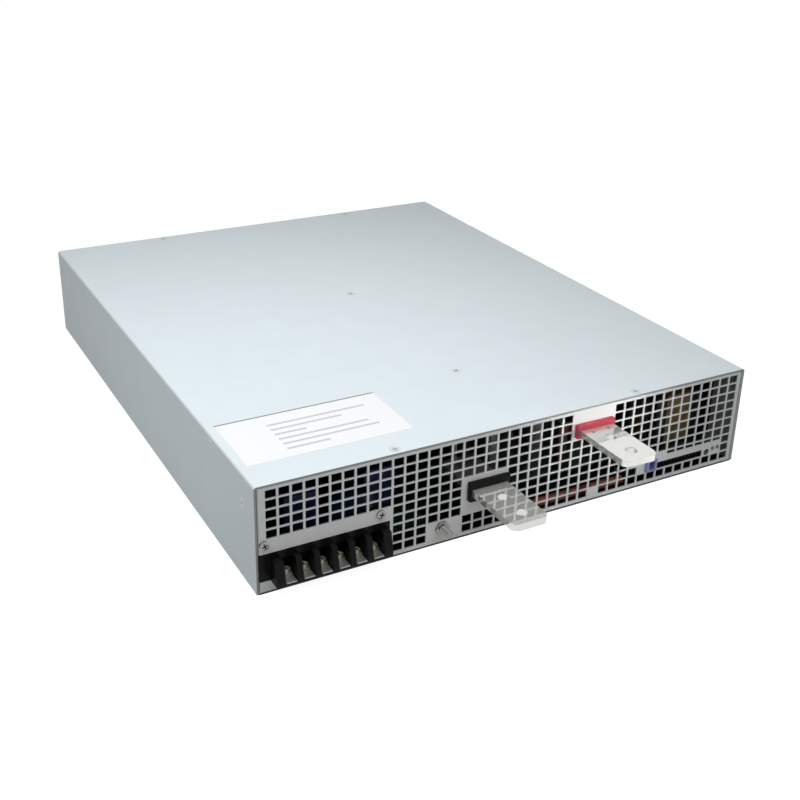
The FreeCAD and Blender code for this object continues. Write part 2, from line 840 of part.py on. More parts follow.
def make_trim_pot():
    """Square pot body with a blind bore, and the slotted rotor that turns in it."""
    x, z = dim["pot_across"], dim["pot_height"]
    half = dim["pot_side"] / 2
    front = depth(dim["pot_front"])
    shell = block("pot_shell", (x - half, x + half), (front, depth(dim["pot_rear"])), (BOARD_TOP, z + half))
    bore_depth = dim["rotor_rear"] - dim["pot_front"] + dim["rotor_clearance"]
    bore = prism("pot_bore", HEAD_SIDES, "y", (x, front, z), dim["rotor_radius"] + dim["rotor_clearance"],
                 bore_depth)
    finish(cut("trim_pot_body", shell, [bore]), "trim_pot_body")
    face = depth(dim["rotor_front"])
    barrel = prism("rotor_barrel", HEAD_SIDES, "y", (x, face, z), dim["rotor_radius"],
                   dim["rotor_rear"] - dim["rotor_front"])
    slot = block("rotor_slot", (x - dim["rotor_radius"], x + dim["rotor_radius"]),
                 (face, face + dim["rotor_slot_depth"]),
                 (z - dim["rotor_slot"] / 2, z + dim["rotor_slot"] / 2))
    finish(cut("trim_pot_rotor", barrel, [slot]), "trim_pot_rotor")


def make_status_lamps():
    """Two round indicator lamps on square holders."""
    lamps = []
    radius = dim["lamp_radius"]
    for index, x in enumerate(lamp_places(), 1):
        start = FRONT - dim["lamp_reach"]
        lens = prism(f"lamp_lens_{index}", HEAD_SIDES, "y", (x, start, dim["lamp_height"]), radius,
                     dim["lamp_rear"] + dim["lamp_reach"])
        holder = block(f"lamp_holder_{index}", (x - radius, x + radius),
                       (depth(dim["pot_front"]), depth(dim["lamp_rear"])), (BOARD_TOP, dim["lamp_height"]))
        lamps.append(join(f"lamp_{index}", [lens, holder]))
    finish(group("status_leds", lamps), "status_leds")


# Fans

def make_fan_frame(index, across):
    """Square fan housing with a round duct, a bearing seat on four struts and a shaft bore."""
    label = f"fan_frame_{index}"
    half = dim["fan_size"] / 2
    middle = dim["case_height"] / 2
    back = REAR - SHEET
    front = back - dim["fan_depth"]
    housing = block(f"{label}_housing", (across - half, across + half), (front, back),
                    (middle - half, middle + half))
    duct = prism(f"{label}_duct", DUCT_SIDES, "y", (across, front, middle), dim["fan_bore"],
                 dim["fan_depth"])
    ring = cut(f"{label}_ring", housing, [duct])
    seat_front = back - dim["seat_depth"]
    bars = []
    for part, half_x, half_z in (("seat", dim["seat_side"] / 2, dim["seat_side"] / 2),
                                 ("strut_across", half, dim["strut_width"] / 2),
                                 ("strut_up", dim["strut_width"] / 2, half)):
        bars.append(block(f"{label}_{part}", (across - half_x, across + half_x), (seat_front, back),
                          (middle - half_z, middle + half_z)))
    frame = join(f"{label}_frame", [ring] + bars)
    bore = prism(f"{label}_bore", HEAD_SIDES, "-y", (across, back, middle),
                 dim["shaft_radius"] + dim["shaft_clearance"], dim["seat_depth"])
    finish(cut(label, frame, [bore]), label)


def make_fan_impeller(index, across):
    """Hub with its shaft, and flat pitched blades set round it."""
    label = f"fan_impeller_{index}"
    body = new_body(label)
    half = dim["hub_length"] / 2
    hub = sketch_on(body, f"{label}_hub_outline", "XZ_Plane")
    polygon(hub, 0, 0, dim["hub_radius"], DUCT_SIDES)
    pad(body, f"{label}_hub", hub, dim["hub_length"], both_ways=True)
    shaft = sketch_on(body, f"{label}_shaft_outline", "XZ_Plane", -half)
    polygon(shaft, 0, 0, dim["shaft_radius"], HEAD_SIDES)
    pad(body, f"{label}_shaft", shaft, dim["shaft_length"]).Reversed = True
    chord = dim["blade_chord"] / 2
    rise = dim["blade_rise"] / 2
    thick = dim["blade_thickness"] / 2
    slant = sketch_on(body, f"{label}_blade_section", "YZ_Plane", dim["blade_root"])
    outline(slant, (
        (-chord, -rise - thick), (chord, rise - thick), (chord, rise + thick), (-chord, thick - rise),
    ))
    blade = pad(body, f"{label}_blade", slant, dim["blade_tip"] - dim["blade_root"])
    blades = body.newObject("PartDesign::PolarPattern", f"{label}_blades")
    blades.Originals = [blade]
    blades.Axis = (hub, ["N_Axis"])
    blades.Occurrences = BLADES
    body.Tip = blades
    back = REAR - SHEET - dim["seat_depth"] - dim["rotor_gap"]
    move(body, across, back - half, dim["case_height"] / 2)
    finish(body, label)


# Boards and what stands on them

def post_places():
    """Across and depth of the two pillars that carry the cover's middle."""
    return [(Size.of(0), depth(dim["post_near"])), (Size.of(0), depth(dim["post_far"]))]


def make_board(label, xs, ys, posts=()):
    """Bare board, cut out where a cover pillar passes."""
    zs = (dim["board_height"], BOARD_TOP)
    sheet = block(f"{label}_sheet", xs, (depth(ys[0]), depth(ys[1])), zs)
    half = dim["post_notch"] / 2
    holes = [block(f"{label}_notch_{number}", (x - half, x + half), (y - half, y + half), zs)
             for number, (x, y) in enumerate(posts, 1)]
    finish(cut(label, sheet, holes) if holes else sheet, label)


def make_boards():
    near_post, far_post = post_places()
    make_board("input_board", (-204, -70), (19, 200))
    make_board("output_board", (-64, 204), (34, 200), [near_post])
    make_board("main_board", (-204, 204), (206, 470), [far_post])
    make_board("control_board", (108, 200), (3, 30))


STANDOFFS = (
    (-195, 35), (-80, 35), (-195, 190), (-80, 190), (-55, 45), (195, 90), (-55, 190), (195, 190),
    (-195, 216), (195, 216), (-195, 460), (195, 460), (113, 25), (195, 25),
)


def make_standoffs():
    pillars = []
    for index, (x, y) in enumerate(STANDOFFS, 1):
        pillars.append(prism(f"standoff_{index}", 6, "z", (Size.of(x), depth(y), SHEET),
                             dim["standoff_radius"], dim["board_height"] - SHEET))
    finish(group("board_standoffs", pillars), "board_standoffs")


def make_cover_posts():
    posts = []
    for index, (x, y) in enumerate(post_places(), 1):
        posts.append(prism(f"cover_post_{index}", 6, "z", (x, y, SHEET), dim["post_radius"],
                           INSIDE_TOP - SHEET))
    finish(group("cover_posts", posts), "cover_posts")


def on_board(name, xs, ys, height, base=BOARD_TOP):
    """A plain block standing on a board."""
    return block(name, xs, (depth(ys[0]), depth(ys[1])), (base, base + height))


def drum(name, x, y, radius, height):
    """A plain can standing on a board."""
    return prism(name, CAN_SIDES, "z", (Size.of(x), depth(y), BOARD_TOP), Size.of(radius), Size.of(height))


def make_wound_ring(name, x, y, outer, inner, height):
    """A wound ring core lying flat on a board."""
    return cut(name, drum(f"{name}_outer", x, y, outer, height), [drum(f"{name}_eye", x, y, inner, height)])


def make_heatsink(label, x, ys, fins, fin_pitch, fin_reach, wall, height):
    """Extruded plate with fins standing off to one side."""
    parts = [on_board(f"{label}_plate", (x, x + wall), ys, height)]
    for index in range(fins):
        low = 20 + fin_pitch * index
        parts.append(block(f"{label}_fin_{index}", (x + wall, x + wall + fin_reach),
                           (depth(ys[0]), depth(ys[1])), (low, low + wall / 2)))
    finish(join(label, parts), label)


def make_input_parts():
    """Fuses, film capacitors, chokes and relay of the input filter."""
    fuses = [on_board(f"fuse_{i}", (-190 + 22 * i, -182 + 22 * i), (62, 96), 12) for i in range(3)]
    finish(group("input_fuses", fuses), "input_fuses")
    films = [
        on_board("film_capacitor_1", (-182, -158), (22, 36), 46),
        on_board("film_capacitor_2", (-146, -114), (22, 38), 32),
        on_board("film_capacitor_3", (-108, -82), (46, 64), 36),
    ]
    finish(group("film_capacitors", films), "film_capacitors")
    chokes = [
        make_wound_ring("emi_choke_1", -165, 150, 26, 12, 34),
        make_wound_ring("emi_choke_2", -104, 150, 26, 12, 34),
    ]
    finish(group("emi_chokes", chokes), "emi_chokes")
    finish(on_board("input_relay", (-118, -82), (76, 104), 24), "input_relay")


def make_power_parts():
    """Bulk cans, heatsinks, transistors and transformers of the converter."""
    cans = [drum(f"bulk_can_{x}_{y}", x, y, 17.5, 62) for x in (-116, -72) for y in (240, 284)]
    finish(group("bulk_capacitors", cans), "bulk_capacitors")
    make_heatsink("primary_heatsink", -200, (220, 440), 5, 12, 34, 4, 66)
    make_heatsink("secondary_heatsink", 130, (220, 440), 5, 12, 34, 4, 66)
    chips = []
    for index in range(4):
        y = 240 + 52 * index
        chips.append(on_board(f"primary_chip_{index}", (-204, -200), (y, y + 16), 40))
        chips.append(on_board(f"secondary_chip_{index}", (126, 130), (y, y + 16), 40))
    finish(group("power_transistors", chips), "power_transistors")
    cores, windings = [], []
    for index, (x, y) in enumerate(((30, 340), (30, 410), (158, 36)), 1):
        for side in (0, 36):
            cores.append(on_board(f"core_{index}_{side}", (x, x + 46), (y + side, y + side + 10), 42))
        windings.append(on_board(f"winding_{index}", (x + 2, x + 44), (y + 10, y + 36), 44))
    finish(group("transformer_cores", cores), "transformer_cores")
    finish(group("transformer_windings", windings), "transformer_windings")


def make_output_parts():
    """Chokes and filter cans between the converter and the bars."""
    chokes = [on_board(f"output_choke_{x}", (x, x + 36), (146, 186), 34) for x in (20, 66, 112)]
    finish(group("output_chokes", chokes), "output_chokes")
    cans = [drum(f"output_can_{x}_{y}", x, y, 8, 36) for x in (22, 66, 110) for y in (80, 120)]
    finish(group("output_capacitors", cans), "output_capacitors")
    leads = []
    for index, (y, z) in enumerate(((9, 3.2), (12.4, 3.2), (10.7, 6.2)), 1):
        leads.append(prism(f"sense_lead_{index}", LEAD_SIDES, "x", (Size.of(-8), depth(y), Size.of(z)),
                           Size.of(1.6), Size.of(112)))
    finish(group("sense_leads", leads), "sense_leads")


def make_all():
    make_base_pan()
    make_cover()
    make_front_panel()
    make_rear_panel()
    make_label()
    make_terminal_block()
    make_terminal_plates()
    make_terminal_clamps()
    make_terminal_screws()
    make_flange_screws()
    make_ground_stud()
    for side, colour in (("negative", "black"), ("positive", "red")):
        make_bar(f"bus_bar_{side}", side)
        make_sleeve(f"bar_sleeve_{colour}", side)
        make_link(f"bus_link_{side}", side)
    make_signal_header()
    make_header_pins()
    make_blue_connector()
    make_trim_pot()
    make_status_lamps()
    for index, across in enumerate(fan_places(), 1):
        make_fan_frame(index, across)
        make_fan_impeller(index, across)
    make_boards()
    make_standoffs()
    make_cover_posts()
    make_input_parts()
    make_power_parts()
    make_output_parts()


def check_and_export():
    """Stop on any failed object, then write each sub-part to its own file."""
    doc.recompute()
    failed = [item.Label for item in doc.Objects if {"Invalid", "Error"} & set(item.State)]
    for node in nodes:
        if node.Shape.isNull() or not node.Shape.isValid():
            failed.append(node.Label)
    if failed:
        raise RuntimeError("failed objects: " + ", ".join(failed))
    os.makedirs("parts", exist_ok=True)
    for node in nodes:
        node.Shape.exportStep(f"parts/{node.Label}.step")


make_all()
check_and_export()
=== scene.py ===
"""Looks of a rack-wide power supply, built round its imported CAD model."""

import bmesh
import bpy
import numpy as np
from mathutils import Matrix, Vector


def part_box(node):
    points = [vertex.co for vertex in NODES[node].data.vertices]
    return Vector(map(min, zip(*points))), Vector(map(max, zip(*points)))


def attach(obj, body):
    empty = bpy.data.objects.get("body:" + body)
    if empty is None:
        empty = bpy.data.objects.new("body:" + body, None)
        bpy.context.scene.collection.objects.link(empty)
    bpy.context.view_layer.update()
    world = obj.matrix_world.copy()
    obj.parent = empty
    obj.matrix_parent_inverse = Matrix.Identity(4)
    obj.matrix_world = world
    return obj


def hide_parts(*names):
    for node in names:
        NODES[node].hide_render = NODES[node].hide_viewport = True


bl_info = {
    "name": "Rack Power Supply",
    "version": (1, 0, 0),
    "blender": (4, 5, 0),
    "location": "View3D > Sidebar > Supply",
    "description": "Dresses a punched-front power supply with its finishes, fasteners and studio",
    "category": "Object",
}

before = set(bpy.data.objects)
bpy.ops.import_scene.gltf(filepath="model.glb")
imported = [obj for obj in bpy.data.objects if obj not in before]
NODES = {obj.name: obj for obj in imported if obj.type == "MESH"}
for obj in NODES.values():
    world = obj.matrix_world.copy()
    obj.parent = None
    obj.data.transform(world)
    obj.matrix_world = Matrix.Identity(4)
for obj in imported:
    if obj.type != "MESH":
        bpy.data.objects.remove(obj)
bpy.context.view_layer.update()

# Faces of the case in metres
MM = 0.001
FRONT = -0.260
REAR = 0.260
SIDE = 0.212
TOP = 0.0835

# Flush fasteners in millimetres: across and behind the front on the top, behind the front and up on the sides
TOP_SCREWS = ((-105, 6), (105, 6), (0, 99), (0, 288), (-105, 514), (105, 514))
SIDE_SCREWS = ((22, 61), (81, 77), (494, 60.5), (503, 39))

# Fans in millimetres: centres across, height, depth, and the screws' distance from a centre
FANS = (1, 2, 3)
FAN_CENTRES = (-150, 0, 150)
FAN_HEIGHT = 41.75
FAN_DEPTH = 237.5
FAN_CORNER = 35.75

# A fan wheel in millimetres: radius and depth round the hub's section, then the blades' measures.
# The lead is a blade's turn in radians for each metre of depth.
HUB = ((0, -13.5), (12.5, -13.5), (14.6, -13.2), (16.2, -12.2), (16.8, -11), (17, -9), (17, 13),
       (16.6, 13.5), (2, 13.5), (2, 19), (0, 19))
HUB_COLUMNS = 48
BLADES = 7
BLADE_ROOT = 16.2
BLADE_TIP = 35.4
BLADE_CHORD = 20
BLADE_LEAD = -34.6

# Bays of the terminal block in millimetres
BAYS = 6
BAY_PITCH = 13.2
BAY_MIDDLE = -158.0

# An edge that turns further than this is sharp, and faces that differ by less than the other lie in one plane.
SHARP = np.radians(40.0)
LEVEL = np.radians(1.0)

# Directions of a part's own across, up and outward axes for each way it can face
FACING = {
    "up": ((1, 0, 0), (0, 1, 0), (0, 0, 1)),
    "front": ((1, 0, 0), (0, 0, 1), (0, -1, 0)),
    "back": ((-1, 0, 0), (0, 0, 1), (0, 1, 0)),
    "left": ((0, -1, 0), (0, 0, 1), (-1, 0, 0)),
    "right": ((0, 1, 0), (0, 0, 1), (1, 0, 0)),
}

# Lamps: place, target and side in metres, spread in degrees, and whether bright metal mirrors them.
# The key would clip in the bars from above, so it lights them without showing in them.
LAMPS = {
    "key": ((-0.24, -0.19, 0.52), (-0.24, -0.185, 0.08), 0.80, 180.0, False),
    "front": ((0.06, -0.50, 0.22), (0.04, -0.26, 0.06), 0.10, 180.0, True),
    "back": ((0.85, 0.95, 0.05), (0.21, 0.26, 0.04), 0.06, 180.0, True),
    "bars": ((0.26, -0.80, 0.08), (0.070, -0.26, 0.070), 0.06, 15.0, True),
}

# The picture is the lower part of a taller one, so its uprights lean less than the camera's tilt alone gives.
CAMERA_PLACE = (-0.4478, -0.8760, 0.4693)
CAMERA_TURN = (66.340, -1.189, -28.492)
CAMERA_SHIFT = -0.0625
SENSOR = 36.0
NEAREST = 0.01
FLOOR_REACH = 6.0


def linear(code):
    """An sRGB hex colour as linear red, green and blue."""
    value = np.array([int(code[i:i + 2], 16) for i in (1, 3, 5)]) / 255.0
    return tuple(np.where(value <= 0.04045, value / 12.92, ((value + 0.055) / 1.055) ** 2.4))


# Settings that a user would change

def colour(name, description, code):
    """A finish's base colour."""
    return bpy.props.FloatVectorProperty(name=name, description=description, subtype="COLOR", size=3,
                                         min=0.0, max=1.0, default=linear(code))


def length(name, description, millimetres):
    """A length, kept in metres."""
    return bpy.props.FloatProperty(name=name, description=description, unit="LENGTH", subtype="DISTANCE",
                                   default=millimetres * MM, precision=5)


def power(name, description, watts):
    """A lamp's power."""
    return bpy.props.FloatProperty(name=name, description=description, unit="POWER", default=watts, min=0.0)


class SupplyColours(bpy.types.PropertyGroup):
    """Base colours of the finishes."""
    sheet: colour("Cover sheet", "Satin zinc-coated steel of the cover and floor", "#D8E2E6")
    # The panels' sheet is the cover's sheet tinted warmer, as a painted reflection of warm surroundings.
    panel: colour("Panel sheet", "Satin zinc-coated steel of the two end panels", "#DDDFDE")
    # Bare steel's own darker grey, which on cut ends and hole walls also serves as painted shade.
    cut: colour("Sheared steel", "Bare steel where the sheet was sheared or punched", "#9DA2A5")
    zinc: colour("Zinc plate", "Bright zinc on the fasteners", "#C2C1BA")
    yellow: colour("Yellow zinc", "Yellow-passivated zinc on the terminals", "#B6B0A0")
    tin: colour("Tin plate", "Bright tin on the output bars and contacts", "#E2E2DE")
    copper: colour("Copper", "Bare copper inside", "#4A2E1E")
    black: colour("Black moulding", "Phenolic and glass-filled mouldings", "#0B0B0C")
    red: colour("Red sleeve", "Red insulating sleeve", "#B41F3A")
    blue: colour("Blue connector", "Pale blue nylon of the small connector", "#8C92BE")
    navy: colour("Capacitor blue", "Dark blue epoxy of the film capacitors", "#1A3158")
    label: colour("Label film", "White film of the label", "#E8EAEC")
    board: colour("Solder mask", "Green board coating", "#0F3020")
    tape: colour("Winding tape", "Tan tape round the windings", "#B08C58")


class SupplySizes(bpy.types.PropertyGroup):
    """Sizes of the small parts."""
    flush_radius: length("Flush head", "Radius of a countersunk cover fastener's head", 3.8)
    flush_rise: length("Flush rise", "Height of a flush head over the sheet", 0.12)
    pan_radius: length("Pan head", "Radius of a pan head", 3.4)
    pan_height: length("Pan height", "Height of a pan head", 2.4)
    thread_pitch: length("Thread pitch", "Pitch of the ground stud's thread", 1.0)
    stud_radius: length("Stud", "Outer radius of the ground stud", 3.0)
    blade_thickness: length("Blade", "Thickness of a fan blade at its middle", 1.6)


class SupplyStage(bpy.types.PropertyGroup):
    """Camera and lamps."""
    lens: bpy.props.FloatProperty(name="Lens", description="Focal length on a 36 mm frame", default=52.55,
                                  unit="CAMERA")
    key: power("Key", "Power of the large lamp over the front left", 3.65)
    front: power("Front", "Power of the small lamp on the grille", 0.10)
    back: power("Back", "Power of the low lamp behind the right corner", 3.0)
    bars: power("Bars", "Power of the narrow lamp on the panel by the bars", 0.018)
    sky: bpy.props.FloatProperty(name="Sky", description="Soft light from all round", default=0.24, min=0.0)


# Mesh surfaces: each is points, quads and how deep in a recess every point lies

def grid_quads(rows, columns):
    """Quads of a grid of points whose columns close on themselves."""
    row, column = np.mgrid[0:rows - 1, 0:columns]
    after = (column + 1) % columns
    quads = np.stack((row * columns + column, row * columns + after,
                      (row + 1) * columns + after, (row + 1) * columns + column), axis=-1)
    return quads.reshape(-1, 4)


def circle(columns):
    """Angles of a full turn in equal steps."""
    return np.linspace(0.0, 2.0 * np.pi, columns, endpoint=False)


def polar(radii, columns):
    """Across and up coordinates of a polar grid, one row for each radius."""
    angle = circle(columns)
    radii = np.asarray(radii)[:, None]
    return radii * np.cos(angle), radii * np.sin(angle)


def smooth_step(low, high, value):
    """0 below the low value and 1 above the high one, joined by a cubic without corners."""
    t = np.clip((value - low) / (high - low), 0.0, 1.0)
    return t * t * (3.0 - 2.0 * t)


def cross_mask(across, up, arm, half):
    """1 inside a cross of two bars, 0 outside, with soft edges two fifths of a bar wide."""
    soft = half * 0.4
    inside = [1.0 - smooth_step(half - soft, half + soft, np.abs(a)) for a in (across, up)]
    reach = [1.0 - smooth_step(arm - soft, arm + soft, np.abs(a)) for a in (across, up)]
    return np.maximum(inside[0] * reach[1], inside[1] * reach[0])


def cross_head(radius, height, dome, recess, turn, rim_shade=0.0):
    """A round head: its height is the dome's parabola less a cross recess, over a straight rim.

    The grid's rows run from the middle to the rim and down the side, its columns round the axis. The cross is
    marked in full for painted shade; the gap is how much of it the outermost ring takes, from 0 to 1.
    """
    rings, columns, flat = 22, 64, 0.94
    arm, half = radius * 0.58, radius * 0.13
    across, up = polar(np.concatenate((np.linspace(0.0, radius * flat, rings), [radius, radius])), columns)
    share = across ** 2 + up ** 2
    cos, sin = np.cos(turn), np.sin(turn)
    mask = cross_mask(across * cos + up * sin, up * cos - across * sin, arm, half)
    out = height - dome * share / radius ** 2 - recess * mask
    out[-1] = 0.0
    mask[-3:] = rim_shade
    points = np.stack((across, up, out), axis=-1).reshape(-1, 3)
    return points, grid_quads(*across.shape), mask.reshape(-1)


def thread(radius, depth, pitch, low, high):
    """A threaded bar: its radius falls and rises as a triangle wave of height less turn, so the wave is a helix.

    The last rows close the end with a chamfer.
    """
    steps, columns = 8, 40
    bevel_height, bevel_depth = 0.8 * MM, 0.9 * MM
    rise = np.linspace(low, high, int((high - low) / pitch * steps))[:, None]
    angle = circle(columns)[None, :]
    phase = (rise / pitch - angle / (2.0 * np.pi)) % 1.0
    reach = radius - depth * np.abs(2.0 * phase - 1.0)
    chamfer = np.clip((high - rise) / bevel_height, 0.0, 1.0)
    reach = np.minimum(reach, radius - bevel_depth * (1.0 - chamfer))
    reach = np.vstack((reach, reach[-1:] * 0.0))
    rise = np.broadcast_to(np.vstack((rise, rise[-1:])), reach.shape)
    points = np.stack((reach * np.cos(angle), reach * np.sin(angle), rise), axis=-1)
    return points.reshape(-1, 3), grid_quads(*reach.shape), np.zeros(reach.size)


def hex_collar(corner, low, high):
    """A six-sided nut: the flat's distance over the cosine from its middle, with the outer corners cut by a cone.

    The rows are a share of that reach and a height, from the middle below to the middle above.
    """
    columns, bevel, cone = 72, 0.35 * MM, 1.03
    angle = circle(columns)
    flat = corner * np.cos(np.pi / 6.0)
    reach = flat / np.cos(angle % (np.pi / 3.0) - np.pi / 6.0)
    rows = ((0.0, low), (1.0, low), (1.0, high - bevel), (0.93, high), (0.0, high))
    radii = np.stack([np.minimum(reach * share, flat * cone if share < 1.0 else reach) for share, _ in rows])
    rise = np.broadcast_to(np.array([level for _, level in rows])[:, None], radii.shape)
    points = np.stack((radii * np.cos(angle), radii * np.sin(angle), rise), axis=-1)
    return points.reshape(-1, 3), grid_quads(*radii.shape), np.zeros(radii.size)


def turned(section, columns):
    """A closed form turned about its axis from rows of radius and height."""
    section = np.asarray(section)
    across, up = polar(section[:, 0], columns)
    out = np.broadcast_to(section[:, 1][:, None], across.shape)
    points = np.stack((across, up, out), axis=-1).reshape(-1, 3)
    return points, grid_quads(*across.shape), np.zeros(points.shape[0])


def fan_blade(root, tip, chord, lead, thickness, turn):
    """A twisted blade: an ellipse along the depth, carried out along the radius.

    Its angle grows in step with the depth, by the lead, and with the square of the way out, so the blade is a
    helix that leans forward. It widens and thins on the way, and the last row closes the tip.
    """
    rows, columns = 14, 24
    lean, camber = 0.30, 0.05
    way = np.append(np.linspace(0.0, 1.0, rows), 1.0)[:, None]
    full = np.append(np.ones(rows), 0.0)[:, None]
    around = circle(columns)[None, :]
    radius = root + (tip - root) * way
    half = chord / 2.0 * (0.86 + 0.14 * way)
    deep = half * np.cos(around)
    thick = thickness / 2.0 * np.sin(around) * full * (1.15 - 0.45 * way)
    angle = turn + deep * lead + lean * way ** 2 + camber * np.sin(around / 2.0) + thick / radius
    points = np.stack((radius * np.cos(angle), radius * np.sin(angle), deep), axis=-1)
    return points.reshape(-1, 3), grid_quads(*angle.shape), np.zeros(angle.size)


def placed(surface, place, facing):
    """Turn a surface's own axes to the way it faces and move it to its place."""
    points, quads, mask = surface
    return points @ np.array(FACING[facing], float) + np.asarray(place, float), quads, mask


def make_piece(name, surfaces, material, replaces=(), body="case"):
    """Join closed surfaces into one piece that rides a body; each point keeps how deep in a recess it lies."""
    starts = np.cumsum([0] + [len(points) for points, _, _ in surfaces[:-1]])
    points = np.concatenate([surface[0] for surface in surfaces]).astype(np.float32)
    quads = np.concatenate([surface[1] + start for surface, start in zip(surfaces, starts)]).astype(np.int32)
    mask = np.concatenate([surface[2] for surface in surfaces]).astype(np.float32)
    mesh = bpy.data.meshes.new(name)
    mesh.vertices.add(len(points))
    mesh.vertices.foreach_set("co", points.ravel())
    mesh.loops.add(quads.size)
    mesh.loops.foreach_set("vertex_index", quads.ravel())
    mesh.polygons.add(len(quads))
    mesh.polygons.foreach_set("loop_start", np.arange(0, quads.size, 4, dtype=np.int32))
    mesh.polygons.foreach_set("use_smooth", np.ones(len(quads), dtype=bool))
    mesh.update(calc_edges=True)
    mesh.attributes.new("recess", "FLOAT", "POINT").data.foreach_set("value", mask)
    merged = bmesh.new()
    merged.from_mesh(mesh)
    bmesh.ops.remove_doubles(merged, verts=merged.verts, dist=1e-7)
    bmesh.ops.recalc_face_normals(merged, faces=merged.faces)
    merged.to_mesh(mesh)
    merged.free()
    mesh.set_sharp_from_angle(angle=SHARP)
    mesh.materials.append(material)
    piece = bpy.data.objects.new(name, mesh)
    bpy.context.scene.collection.objects.link(piece)
    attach(piece, body)
    if replaces:
        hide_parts(*replaces)
    return piece


# Materials

def add(tree, kind, inputs=(), **settings):
    """Add a node, apply its settings, and set or link its inputs."""
    node = tree.nodes.new(kind)
    for key, value in settings.items():
        setattr(node, key, value)
    for key, value in dict(inputs).items():
        if isinstance(value, bpy.types.NodeSocket):
            tree.links.new(value, node.inputs[key])
        else:
            node.inputs[key].default_value = value
    return node


def new_material(name):
    """An empty material, its node tree, and the coordinates that its patterns are drawn on."""
    material = bpy.data.materials.new(name)
    material.use_nodes = True
    tree = material.node_tree
    tree.nodes.clear()
    return material, tree, add(tree, "ShaderNodeTexCoord").outputs["Object"]


def surfaced(material, tree, inputs):
    """Close a material's tree with its shader."""
    shader = add(tree, "ShaderNodeBsdfPrincipled", inputs)
    add(tree, "ShaderNodeOutputMaterial", {"Surface": shader.outputs[0]})
    return material


def shade(base, factor=1.0):
    """A colour made darker or lighter, with full alpha."""
    return tuple(min(1.0, c * factor) for c in base[:3]) + (1.0,)


def sheared_ends(tree, where):
    """1 on the sheet's front and rear ends, 0 elsewhere."""
    depth = add(tree, "ShaderNodeSeparateXYZ", {0: where}).outputs["Y"]
    away = add(tree, "ShaderNodeMath", {0: depth}, operation="ABSOLUTE")
    return add(tree, "ShaderNodeMath", {0: away.outputs[0], 1: REAR - 0.05 * MM},
               operation="GREATER_THAN").outputs[0]


def punched_walls(tree, _where):
    """1 on faces that don't look along the depth, such as the walls of the holes, 0 elsewhere.

    It is called as sheared_ends is, and needs no coordinates.
    """
    normal = add(tree, "ShaderNodeNewGeometry").outputs["Normal"]
    along = add(tree, "ShaderNodeSeparateXYZ", {0: normal}).outputs["Y"]
    square = add(tree, "ShaderNodeMath", {0: along}, operation="ABSOLUTE")
    return add(tree, "ShaderNodeMath", {0: square.outputs[0], 1: 0.5}, operation="LESS_THAN").outputs[0]


def inner_faces(tree, where):
    """1 on faces between the panels that look towards the middle of the case, 0 elsewhere."""
    outward = add(tree, "ShaderNodeMapping", {"Vector": where, "Location": (0.0, 0.0, -TOP / 2.0)})
    normal = add(tree, "ShaderNodeNewGeometry").outputs["Normal"]
    facing = add(tree, "ShaderNodeVectorMath", {0: outward.outputs[0], 1: normal}, operation="DOT_PRODUCT")
    inward = add(tree, "ShaderNodeMath", {0: facing.outputs["Value"], 1: 0.0}, operation="LESS_THAN")
    depth = add(tree, "ShaderNodeSeparateXYZ", {0: where}).outputs["Y"]
    between = add(tree, "ShaderNodeMath", {0: depth, 1: 0.0, 2: REAR - 3.0 * MM}, operation="COMPARE")
    return add(tree, "ShaderNodeMath", {0: inward.outputs[0], 1: between.outputs[0]},
               operation="MULTIPLY").outputs[0]


def sheet_zinc(name, base, cut, cut_mask, film=None):
    """Zinc-coated steel sheet under a clear passivation film.

    It gives a satin pale grey that scatters as much as it mirrors, with soft clouds of zinc crystals, faint
    rolling lines along the depth, and darker bare steel where it was cut, which at seams and holes also serves as
    painted shade. Where a film colour is given, the case's inner faces take it as painted shade of the inside.
    """
    # Real rolling lines are a few hundredths of a millimetre apart; these are drawn at 0.9 mm to show.
    cloud, line = 0.022, 0.0009
    material, tree, where = new_material(name)
    clouds = add(tree, "ShaderNodeTexNoise", {"Vector": where, "Scale": 1.0 / cloud, "Detail": 5.0})
    tint = add(tree, "ShaderNodeMix", {"Factor": clouds.outputs["Fac"], "A": shade(base, 0.96),
                                       "B": shade(base, 1.03)}, data_type="RGBA")
    coat = add(tree, "ShaderNodeMix", {"Factor": cut_mask(tree, where), "A": tint.outputs["Result"],
                                       "B": shade(cut)}, data_type="RGBA")
    # The inner faces take the film colour as painted shade of the case's inside.
    if film:
        coat = add(tree, "ShaderNodeMix", {"Factor": inner_faces(tree, where), "A": coat.outputs["Result"],
                                           "B": shade(film)}, data_type="RGBA")
    stretched = add(tree, "ShaderNodeMapping", {"Vector": where, "Scale": (1.0, 0.02, 1.0)})
    lines = add(tree, "ShaderNodeTexNoise", {"Vector": stretched.outputs[0], "Scale": 1.0 / line, "Detail": 2.0})
    gloss = add(tree, "ShaderNodeMapRange", {"Value": lines.outputs["Fac"], "To Min": 0.52, "To Max": 0.64})
    bump = add(tree, "ShaderNodeBump", {"Height": lines.outputs["Fac"], "Strength": 0.05, "Distance": 0.2 * MM})
    return surfaced(material, tree, {"Base Color": coat.outputs["Result"], "Roughness": gloss.outputs[0],
                                     "Normal": bump.outputs[0], "Metallic": 0.15, "Specular IOR Level": 0.20})


